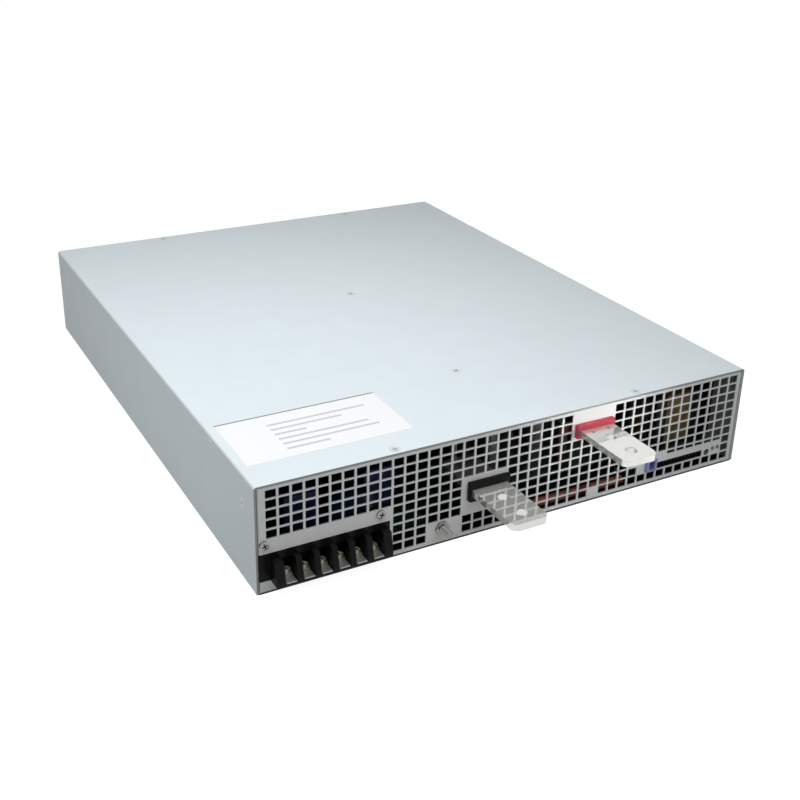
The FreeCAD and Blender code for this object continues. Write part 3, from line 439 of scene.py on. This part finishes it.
def plated(name, base, rough, grain, metallic=1.0, recess_shade=0.12):
    """Plated or bare metal: a clear highlight broken by fine scuffs, darkened as painted shade where a recess is
    marked.
    """
    material, tree, where = new_material(name)
    scuffs = add(tree, "ShaderNodeTexNoise", {"Vector": where, "Scale": 1.0 / grain, "Detail": 6.0,
                                              "Roughness": 0.7})
    recess = add(tree, "ShaderNodeAttribute", attribute_name="recess")
    worn = add(tree, "ShaderNodeMix", {"Factor": scuffs.outputs["Fac"], "A": shade(base, 0.92),
                                       "B": shade(base, 1.06)}, data_type="RGBA")
    # Marked recesses are darkened as painted shade.
    tint = add(tree, "ShaderNodeMix", {"Factor": recess.outputs["Fac"], "A": worn.outputs["Result"],
                                       "B": shade(base, recess_shade)}, data_type="RGBA")
    gloss = add(tree, "ShaderNodeMapRange", {"Value": scuffs.outputs["Fac"], "To Min": rough * 0.7,
                                             "To Max": rough * 1.4})
    bump = add(tree, "ShaderNodeBump", {"Height": scuffs.outputs["Fac"], "Strength": 0.05, "Distance": 0.2 * MM})
    return surfaced(material, tree, {"Base Color": tint.outputs["Result"], "Roughness": gloss.outputs[0],
                                     "Normal": bump.outputs[0], "Metallic": metallic})


def moulded(name, base, rough, grain=0.0006, coat=0.0, specular=0.5):
    """Moulded plastic: one colour that drifts a little, with a fine eroded grain that breaks up the gloss."""
    drift_size = 0.012
    material, tree, where = new_material(name)
    pores = add(tree, "ShaderNodeTexNoise", {"Vector": where, "Scale": 1.0 / grain, "Detail": 3.0})
    drift = add(tree, "ShaderNodeTexNoise", {"Vector": where, "Scale": 1.0 / drift_size, "Detail": 2.0})
    tint = add(tree, "ShaderNodeMix", {"Factor": drift.outputs["Fac"], "A": shade(base, 0.85),
                                       "B": shade(base, 1.15)}, data_type="RGBA")
    gloss = add(tree, "ShaderNodeMapRange", {"Value": pores.outputs["Fac"], "To Min": rough * 0.8,
                                             "To Max": rough * 1.25})
    bump = add(tree, "ShaderNodeBump", {"Height": pores.outputs["Fac"], "Strength": 0.10, "Distance": 0.2 * MM})
    return surfaced(material, tree, {"Base Color": tint.outputs["Result"], "Roughness": gloss.outputs[0],
                                     "Normal": bump.outputs[0], "Coat Weight": coat,
                                     "Specular IOR Level": specular})


def board_mask(base):
    """Solder mask on a laminate: glossy green over a lighter maze of copper tracks about 2 mm apart."""
    material, tree, where = new_material("green_solder_mask")
    tracks = add(tree, "ShaderNodeTexBrick", {"Vector": where, "Scale": 1.0, "Brick Width": 0.009,
                                              "Row Height": 0.0021, "Mortar Size": 0.0004,
                                              "Color1": shade(base, 0.9), "Color2": shade(base, 1.1),
                                              "Mortar": shade(base, 1.9)})
    return surfaced(material, tree, {"Base Color": tracks.outputs["Color"], "Roughness": 0.35})


def label_film(base):
    """White polyester film with a silky face: blank grey bars of uneven length in rows 7.5 mm apart."""
    row_pitch, rows_middle, rows_half = 0.0075, 0.0300, 0.0225
    bar_start, bar_shortest, bar_longest, bar_half = 0.034, 0.058, 0.116, 0.17
    # The far edge holds a line of painted shade, drawn 1.5 mm wide to show.
    far_edge_shade, fibre = 0.0015, 0.0008
    material, tree, where = new_material("white_label_film")
    low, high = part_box("blank_label")
    corner = add(tree, "ShaderNodeMapping", {"Vector": where, "Location": (-low.x, -low.y, 0.0)}).outputs[0]
    parts = add(tree, "ShaderNodeSeparateXYZ", {0: corner})
    across, along = parts.outputs["X"], parts.outputs["Y"]
    rows = add(tree, "ShaderNodeMath", {0: along, 1: row_pitch}, operation="DIVIDE")
    number = add(tree, "ShaderNodeMath", {0: rows.outputs[0]}, operation="FLOOR")
    within = add(tree, "ShaderNodeMath", {0: rows.outputs[0]}, operation="FRACT")
    chance = add(tree, "ShaderNodeTexWhiteNoise", {"W": number.outputs[0]}, noise_dimensions="1D")
    end = add(tree, "ShaderNodeMapRange", {"Value": chance.outputs["Value"], "To Min": bar_shortest,
                                           "To Max": bar_longest})
    masks = [
        add(tree, "ShaderNodeMath", {0: within.outputs[0], 1: 0.5, 2: bar_half}, operation="COMPARE"),
        add(tree, "ShaderNodeMath", {0: along, 1: rows_middle, 2: rows_half}, operation="COMPARE"),
        add(tree, "ShaderNodeMath", {0: across, 1: bar_start}, operation="GREATER_THAN"),
        add(tree, "ShaderNodeMath", {0: across, 1: end.outputs[0]}, operation="LESS_THAN"),
    ]
    bar = masks[0].outputs[0]
    for mask in masks[1:]:
        bar = add(tree, "ShaderNodeMath", {0: bar, 1: mask.outputs[0]}, operation="MULTIPLY").outputs[0]
    face = add(tree, "ShaderNodeMix", {"Factor": bar, "A": shade(base), "B": shade(base, 0.66)},
               data_type="RGBA")
    # A line of painted shade along the far edge.
    edge = add(tree, "ShaderNodeMath", {0: along, 1: high.y - low.y - far_edge_shade}, operation="GREATER_THAN")
    face = add(tree, "ShaderNodeMix", {"Factor": edge.outputs[0], "A": face.outputs["Result"],
                                       "B": shade(base, 0.22)}, data_type="RGBA")
    fibres = add(tree, "ShaderNodeTexNoise", {"Vector": where, "Scale": 1.0 / fibre, "Detail": 3.0})
    gloss = add(tree, "ShaderNodeMapRange", {"Value": fibres.outputs["Fac"], "To Min": 0.42, "To Max": 0.6})
    return surfaced(material, tree, {"Base Color": face.outputs["Result"], "Roughness": gloss.outputs[0]})


def taped_ferrite(base, tape):
    """Ferrite cores held by a turn of tan tape.

    It gives a dull black ceramic with a warm satin band 26 mm wide up the middle of each 46 mm core, at both
    ends of the row.
    """
    core_half, band_half, grit = 0.023, 0.013, 0.001
    material, tree, where = new_material("taped_ferrite")
    low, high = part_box("transformer_cores")
    middle = add(tree, "ShaderNodeMapping", {"Vector": where, "Location": (-(low.x + high.x) / 2, 0.0, 0.0)})
    across = add(tree, "ShaderNodeSeparateXYZ", {0: middle.outputs[0]}).outputs["X"]
    either = add(tree, "ShaderNodeMath", {0: across}, operation="ABSOLUTE")
    band = add(tree, "ShaderNodeMath", {0: either.outputs[0], 1: (high.x - low.x) / 2 - core_half, 2: band_half},
               operation="COMPARE")
    grains = add(tree, "ShaderNodeTexNoise", {"Vector": where, "Scale": 1.0 / grit, "Detail": 3.0})
    core = add(tree, "ShaderNodeMix", {"Factor": grains.outputs["Fac"], "A": shade(base, 0.8),
                                       "B": shade(base, 1.2)}, data_type="RGBA")
    face = add(tree, "ShaderNodeMix", {"Factor": band.outputs[0], "A": core.outputs["Result"],
                                       "B": shade(tape)}, data_type="RGBA")
    gloss = add(tree, "ShaderNodeMapRange", {"Value": grains.outputs["Fac"], "To Min": 0.45, "To Max": 0.65})
    return surfaced(material, tree, {"Base Color": face.outputs["Result"], "Roughness": gloss.outputs[0]})


def dress(material, *names):
    """Give CAD nodes a finish."""
    for name in names:
        mesh = NODES[name].data
        mesh.materials.clear()
        mesh.materials.append(material)


def soften(width, *names):
    """Round the moulded edges of CAD nodes a little, so that they catch the light."""
    for name in names:
        node = NODES[name]
        node.modifiers.new("weld", "WELD").merge_threshold = 1e-6
        flat = node.modifiers.new("flat", "DECIMATE")
        flat.decimate_type = "DISSOLVE"
        flat.angle_limit = LEVEL
        bevel = node.modifiers.new("edges", "BEVEL")
        bevel.width = width
        bevel.segments = 2
        bevel.limit_method = "ANGLE"
        bevel.angle_limit = SHARP


# Operators, one for each piece or group of like pieces

class SUPPLY_OT_case(bpy.types.Operator):
    """Finish the case's sheets"""
    bl_idname = "supply.case"
    bl_label = "Case Sheets"

    def execute(self, context):
        colours = context.scene.supply_colours
        # The cover and floor take the black on their inner faces as painted shade of the case's inside.
        sheet, panel, cut, film = colours.sheet, colours.panel, colours.cut, colours.black
        # The floor's sheared ends are near black as painted shade of the seam under each end panel.
        seam = shade(cut, 0.15)
        # On the cover's ends, and on the end panels' hole walls and flanges below, the bare steel's darker grey
        # also serves as painted shade of the seams and holes.
        dress(sheet_zinc("zinc_sheet_cover", sheet, cut, sheared_ends, film), "cover")
        dress(sheet_zinc("zinc_sheet_floor", sheet, seam, sheared_ends, film), "base_pan")
        # The end panels' warmer tint is a painted reflection of warm surroundings.
        dress(sheet_zinc("zinc_sheet_punched", panel, cut, punched_walls), "front_panel", "rear_panel")
        return {"FINISHED"}


class SUPPLY_OT_flush_screws(bpy.types.Operator):
    """Set the flush fasteners of the cover and the fans"""
    bl_idname = "supply.flush_screws"
    bl_label = "Flush Fasteners"

    def execute(self, context):
        sizes = context.scene.supply_sizes
        places = [((x * MM, FRONT + y * MM, TOP), "up") for x, y in TOP_SCREWS]
        for y, z in SIDE_SCREWS:
            places.append(((-SIDE, FRONT + y * MM, z * MM), "left"))
            places.append(((SIDE, FRONT + y * MM, z * MM), "right"))
        for x in FAN_CENTRES:
            for side in (-FAN_CORNER, FAN_CORNER):
                for lift in (-FAN_CORNER, FAN_CORNER):
                    places.append((((x + side) * MM, REAR, (FAN_HEIGHT + lift) * MM), "back"))
        radius, rise = sizes.flush_radius, sizes.flush_rise
        heads = []
        for index, (place, facing) in enumerate(places):
            head = cross_head(radius, rise, rise * 0.4, rise * 0.5, turn=0.4 * index, rim_shade=0.5)
            heads.append(placed(head, place, facing))
        # Satin zinc, as pale as the sheet: only the cross and the ring round the rim, darkened as painted shade,
        # tell a head from it.
        pale = shade(context.scene.supply_colours.sheet, 0.92)
        zinc = plated("satin_zinc_screw", pale, 0.42, 0.0015, metallic=0.3, recess_shade=0.35)
        make_piece("flush_screws", heads, zinc)
        return {"FINISHED"}


class SUPPLY_OT_label(bpy.types.Operator):
    """Finish the blank label"""
    bl_idname = "supply.label"
    bl_label = "Label"

    def execute(self, context):
        dress(label_film(context.scene.supply_colours.label), "blank_label")
        return {"FINISHED"}


class SUPPLY_OT_terminals(bpy.types.Operator):
    """Finish the input terminals and set their screws"""
    bl_idname = "supply.terminals"
    bl_label = "Input Terminals"

    def execute(self, context):
        colours, sizes = context.scene.supply_colours, context.scene.supply_sizes
        radius, height = sizes.pan_radius, sizes.pan_height
        # Phenolic: near black and dull, with a soft line of light on its rounded edges.
        dress(moulded("black_phenolic", colours.black, 0.34, specular=0.1), "terminal_block")
        soften(0.4 * MM, "terminal_block")
        # Nickel plate: a cloudy grey that mirrors only roughly.
        dress(plated("nickel_plate", shade(colours.tin, 0.45), 0.38, 0.002, 0.6), "terminal_plates")
        # Yellow zinc: warm glints that break at every edge; the heads take the clamps' colour made half again
        # brighter as a painted highlight.
        dress(plated("yellow_zinc_clamp", colours.yellow, 0.26, 0.002, 0.8), "terminal_clamps")
        bright = plated("yellow_zinc_pan_screw", shade(colours.yellow, 1.5), 0.22, 0.0015, 0.7)
        low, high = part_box("terminal_clamps")
        heads = []
        for index in range(BAYS):
            x = (BAY_MIDDLE + BAY_PITCH * (index - (BAYS - 1) / 2)) * MM
            head = cross_head(radius, height, 0.7 * MM, 1.1 * MM, turn=0.5 + 0.7 * index)
            heads.append(placed(head, (x, (low.y + high.y) / 2, high.z), "up"))
        make_piece("terminal_screw_heads", heads, bright, ["terminal_screws"])
        low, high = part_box("flange_screws")
        heads = []
        for index, x in enumerate((low.x + radius, high.x - radius)):
            head = cross_head(radius, height, 0.8 * MM, 1.1 * MM, turn=0.3 + index)
            heads.append(placed(head, (x, FRONT, (low.z + high.z) / 2), "front"))
        # Aged zinc: a grey head that shows its cross more than its shine.
        dull = plated("dull_zinc_pan_screw", shade(colours.zinc, 0.6), 0.36, 0.0015, 0.75)
        make_piece("flange_screw_heads", heads, dull, ["flange_screws"])
        return {"FINISHED"}


class SUPPLY_OT_ground_stud(bpy.types.Operator):
    """Cut the ground stud's thread"""
    bl_idname = "supply.ground_stud"
    bl_label = "Ground Stud"

    def execute(self, context):
        sizes = context.scene.supply_sizes
        low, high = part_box("ground_stud")
        place = ((low.x + high.x) / 2, FRONT, (low.z + high.z) / 2)
        collar = hex_collar((high.x - low.x) / 2, 0.0, 2.0 * MM)
        bar = thread(sizes.stud_radius, 0.6 * MM, sizes.thread_pitch, 0.5 * MM, FRONT - low.y)
        # Aged zinc on a thread: dark flanks, with a line of light on each crest.
        zinc = plated("zinc_stud", shade(context.scene.supply_colours.zinc, 0.42), 0.34, 0.002)
        parts = [placed(part, place, "front") for part in (collar, bar)]
        make_piece("threaded_stud", parts, zinc, ["ground_stud"])
        return {"FINISHED"}


class SUPPLY_OT_output_bars(bpy.types.Operator):
    """Finish the output bars and their sleeves"""
    bl_idname = "supply.output_bars"
    bl_label = "Output Bars"

    def execute(self, context):
        colours = context.scene.supply_colours
        # Bright tin: a pale near mirror, in which the grille and the white studio show.
        dress(plated("tin_plated_bar", colours.tin, 0.04, 0.006, 0.62), "bus_bar_negative", "bus_bar_positive")
        # Filled nylon: the black one dull and dark, the red one deep with a glossy skin.
        dress(moulded("black_sleeve", colours.black, 0.40, specular=0.1), "bar_sleeve_black")
        dress(moulded("red_sleeve", colours.red, 0.28, coat=0.4), "bar_sleeve_red")
        soften(0.6 * MM, "bar_sleeve_black", "bar_sleeve_red")
        # Bare copper: a dark brown-red glint in the shade of the case.
        dress(plated("bare_copper", colours.copper, 0.3, 0.003), "bus_link_negative", "bus_link_positive")
        return {"FINISHED"}


class SUPPLY_OT_signals(bpy.types.Operator):
    """Finish the signal connectors, trim pot and lamps"""
    bl_idname = "supply.signals"
    bl_label = "Signal Connectors"

    def execute(self, context):
        colours = context.scene.supply_colours
        # Nylon mouldings: an even, satin colour with soft lines of light on the edges.
        dress(moulded("black_header", colours.black, 0.4, specular=0.3), "signal_header")
        dress(moulded("blue_connector_nylon", colours.blue, 0.35), "blue_connector")
        dress(moulded("blue_pot_shell", colours.navy, 0.4), "trim_pot_body")
        soften(0.3 * MM, "blue_connector", "signal_header")
        # Tinned pins: small bright points in the header's dark mouth.
        dress(plated("tinned_pin", colours.tin, 0.2, 0.002), "header_pins")
        # The rotor's dull ivory and the unlit lamps' glassy dark green are darkened as painted shade of the round
        # holes they lie deep in.
        dress(moulded("ivory_rotor", linear("#4A4840"), 0.45), "trim_pot_rotor")
        dress(moulded("green_lamp_resin", linear("#1E2A22"), 0.2, coat=0.3), "status_leds")
        return {"FINISHED"}


class SUPPLY_OT_inside(bpy.types.Operator):
    """Finish the boards and what stands on them"""
    bl_idname = "supply.inside"
    bl_label = "Boards And Parts"

    def execute(self, context):
        colours = context.scene.supply_colours
        dress(board_mask(colours.board), "input_board", "main_board", "output_board", "control_board")
        # Nickel-plated brass: small grey posts with a soft highlight down the side.
        dress(plated("nickel_standoff", colours.zinc, 0.35, 0.003), "board_standoffs", "cover_posts")
        # Dipped epoxy: dark blue with a soft gloss.
        dress(moulded("blue_film_capacitor", colours.navy, 0.3, specular=0.3), "film_capacitors")
        # Fired ceramic: chalky and warm grey.
        dress(moulded("ceramic_fuse", linear("#8E8A7E"), 0.5), "input_fuses")
        # Epoxy and polyester cases: plain satin black.
        dress(moulded("black_relay", colours.black, 0.4), "input_relay", "power_transistors")
        # Pressed ferrite: a dull, grainy black.
        ferrite = linear("#1C1C1E")
        dress(moulded("dark_ferrite", ferrite, 0.55, grain=0.001), "emi_chokes")
        dress(taped_ferrite(ferrite, colours.tape), "transformer_cores")
        # The windings' tan tape, darkened to a third as painted shade of the case's inside, with a soft sheen.
        dress(moulded("varnished_tape", shade(colours.tape, 0.35), 0.4), "transformer_windings")
        # Enamelled wire: a dark copper shine.
        dress(plated("wound_copper", colours.copper, 0.35, 0.0025), "output_chokes")
        # Bare aluminium: a neutral grey with broad highlights, a little smoother on the drawn cans.
        dress(plated("extruded_aluminium", linear("#85888A"), 0.4, 0.002), "primary_heatsink",
              "secondary_heatsink")
        dress(plated("aluminium_can", linear("#8E9092"), 0.35, 0.003), "bulk_capacitors", "output_capacitors")
        # Silicone rubber: a soft brick red.
        dress(moulded("red_lead", linear("#8E3A26"), 0.4), "sense_leads")
        return {"FINISHED"}


class SUPPLY_OT_fans(bpy.types.Operator):
    """Finish the fans"""
    bl_idname = "supply.fans"
    bl_label = "Fans"

    def execute(self, context):
        black = context.scene.supply_colours.black
        thickness = context.scene.supply_sizes.blade_thickness
        # Glass-filled polyester: a dark satin that shows the blades by their highlights alone.
        dress(moulded("black_fan_frame", black, 0.42), *[f"fan_frame_{n}" for n in FANS])
        blade = moulded("black_fan_blade", black, 0.36)
        surfaces = [turned(np.array(HUB) * MM, HUB_COLUMNS)]
        surfaces += [fan_blade(BLADE_ROOT * MM, BLADE_TIP * MM, BLADE_CHORD * MM, BLADE_LEAD, thickness, turn)
                     for turn in circle(BLADES)]
        for number, x in zip(FANS, FAN_CENTRES):
            place = (x * MM, FAN_DEPTH * MM, FAN_HEIGHT * MM)
            make_piece(f"fan_wheel_{number}", [placed(surface, place, "back") for surface in surfaces], blade,
                       [f"fan_impeller_{number}"], f"fan_rotor_{number}")
        return {"FINISHED"}


class SUPPLY_OT_stage(bpy.types.Operator):
    """Set the floor, lamps, sky and camera"""
    bl_idname = "supply.stage"
    bl_label = "Studio"

    def execute(self, context):
        scene, settings = context.scene, context.scene.supply_stage
        self.floor(scene)
        self.sky(scene, settings.sky)
        for name, (place, target, size, spread, mirrored) in LAMPS.items():
            self.lamp(scene, name, place, target, size, getattr(settings, name), spread, mirrored)
        camera = bpy.data.objects.new("camera", bpy.data.cameras.new("camera"))
        camera.data.lens = settings.lens
        camera.data.sensor_width = SENSOR
        camera.data.clip_start = NEAREST
        camera.data.shift_y = CAMERA_SHIFT
        camera.location = CAMERA_PLACE
        camera.rotation_euler = np.radians(CAMERA_TURN)
        scene.collection.objects.link(camera)
        scene.camera = camera
        scene.view_settings.view_transform = "Standard"
        return {"FINISHED"}

    def floor(self, scene):
        """A pale floor that shows white and keeps the shadow: part glow for the eye, part lit paper."""
        glow_share, paper_grey = 0.93, "#909090"
        corners = [(x * FLOOR_REACH, y * FLOOR_REACH, 0.0) for x, y in ((-1, -1), (1, -1), (1, 1), (-1, 1))]
        mesh = bpy.data.meshes.new("floor")
        mesh.from_pydata(corners, [], [(0, 1, 2, 3)])
        material = bpy.data.materials.new("white_paper")
        material.use_nodes = True
        tree = material.node_tree
        tree.nodes.clear()
        glow = add(tree, "ShaderNodeMath", {0: self.seen(tree), 1: glow_share}, operation="MULTIPLY")
        light = add(tree, "ShaderNodeEmission", {"Color": (1, 1, 1, 1), "Strength": glow.outputs[0]})
        paper = add(tree, "ShaderNodeBsdfDiffuse", {"Color": shade(linear(paper_grey))})
        both = add(tree, "ShaderNodeAddShader", {0: light.outputs[0], 1: paper.outputs[0]})
        add(tree, "ShaderNodeOutputMaterial", {"Surface": both.outputs[0]})
        mesh.materials.append(material)
        floor = bpy.data.objects.new("floor", mesh)
        scene.collection.objects.link(floor)

    def sky(self, scene, strength):
        """White to the eye and in reflections, softer as light."""
        world = bpy.data.worlds.new("studio")
        world.use_nodes = True
        tree = world.node_tree
        tree.nodes.clear()
        level = add(tree, "ShaderNodeMapRange", {"Value": self.seen(tree), "To Min": strength, "To Max": 1.0})
        light = add(tree, "ShaderNodeBackground", {"Color": (1, 1, 1, 1), "Strength": level.outputs[0]})
        add(tree, "ShaderNodeOutputWorld", {"Surface": light.outputs[0]})
        scene.world = world

    def seen(self, tree):
        """1 where the surroundings are looked at, straight or by way of metal and glass, 0 where they light."""
        path = add(tree, "ShaderNodeLightPath").outputs
        shiny = add(tree, "ShaderNodeMath", {0: path["Is Glossy Ray"], 1: path["Is Transmission Ray"]},
                    operation="MAXIMUM")
        return add(tree, "ShaderNodeMath", {0: path["Is Camera Ray"], 1: shiny.outputs[0]},
                   operation="MAXIMUM").outputs[0]

    def lamp(self, scene, name, place, target, size, watts, spread, mirrored):
        """A square soft lamp that faces its target, its beam held to a spread in degrees."""
        data = bpy.data.lights.new(name, "AREA")
        data.size = size
        data.spread = np.radians(spread)
        data.energy = watts
        lamp = bpy.data.objects.new(name, data)
        lamp.location = place
        aim = np.subtract(target, place)
        lamp.rotation_euler = (np.arctan2(np.hypot(aim[0], aim[1]), -aim[2]), 0.0,
                               np.arctan2(aim[1], aim[0]) - np.pi / 2.0)
        lamp.visible_glossy = mirrored
        scene.collection.objects.link(lamp)


class SUPPLY_PT_panel(bpy.types.Panel):
    """Steps of the dressing, in order"""
    bl_label = "Power Supply"
    bl_idname = "SUPPLY_PT_panel"
    bl_space_type = "VIEW_3D"
    bl_region_type = "UI"
    bl_category = "Supply"

    def draw(self, context):
        for step in STEPS:
            self.layout.operator(step.bl_idname)
        for group in (context.scene.supply_colours, context.scene.supply_sizes, context.scene.supply_stage):
            for name in group.__annotations__:
                self.layout.prop(group, name)


STEPS = (SUPPLY_OT_case, SUPPLY_OT_flush_screws, SUPPLY_OT_label, SUPPLY_OT_terminals, SUPPLY_OT_ground_stud,
         SUPPLY_OT_output_bars, SUPPLY_OT_signals, SUPPLY_OT_inside, SUPPLY_OT_fans, SUPPLY_OT_stage)
CLASSES = (SupplyColours, SupplySizes, SupplyStage) + STEPS + (SUPPLY_PT_panel,)


def register():
    """Add the settings, steps and panel to Blender."""
    for cls in CLASSES:
        bpy.utils.register_class(cls)
    bpy.types.Scene.supply_colours = bpy.props.PointerProperty(type=SupplyColours)
    bpy.types.Scene.supply_sizes = bpy.props.PointerProperty(type=SupplySizes)
    bpy.types.Scene.supply_stage = bpy.props.PointerProperty(type=SupplyStage)


def unregister():
    """Take them out again, in the opposite order."""
    del bpy.types.Scene.supply_stage
    del bpy.types.Scene.supply_sizes
    del bpy.types.Scene.supply_colours
    for cls in reversed(CLASSES):
        bpy.utils.unregister_class(cls)


def main():
    """Dress the part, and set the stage."""
    register()
    bpy.ops.supply.case()
    bpy.ops.supply.flush_screws()
    bpy.ops.supply.label()
    bpy.ops.supply.terminals()
    bpy.ops.supply.ground_stud()
    bpy.ops.supply.output_bars()
    bpy.ops.supply.signals()
    bpy.ops.supply.inside()
    bpy.ops.supply.fans()
    bpy.ops.supply.stage()


if __name__ == "__main__":
    main()
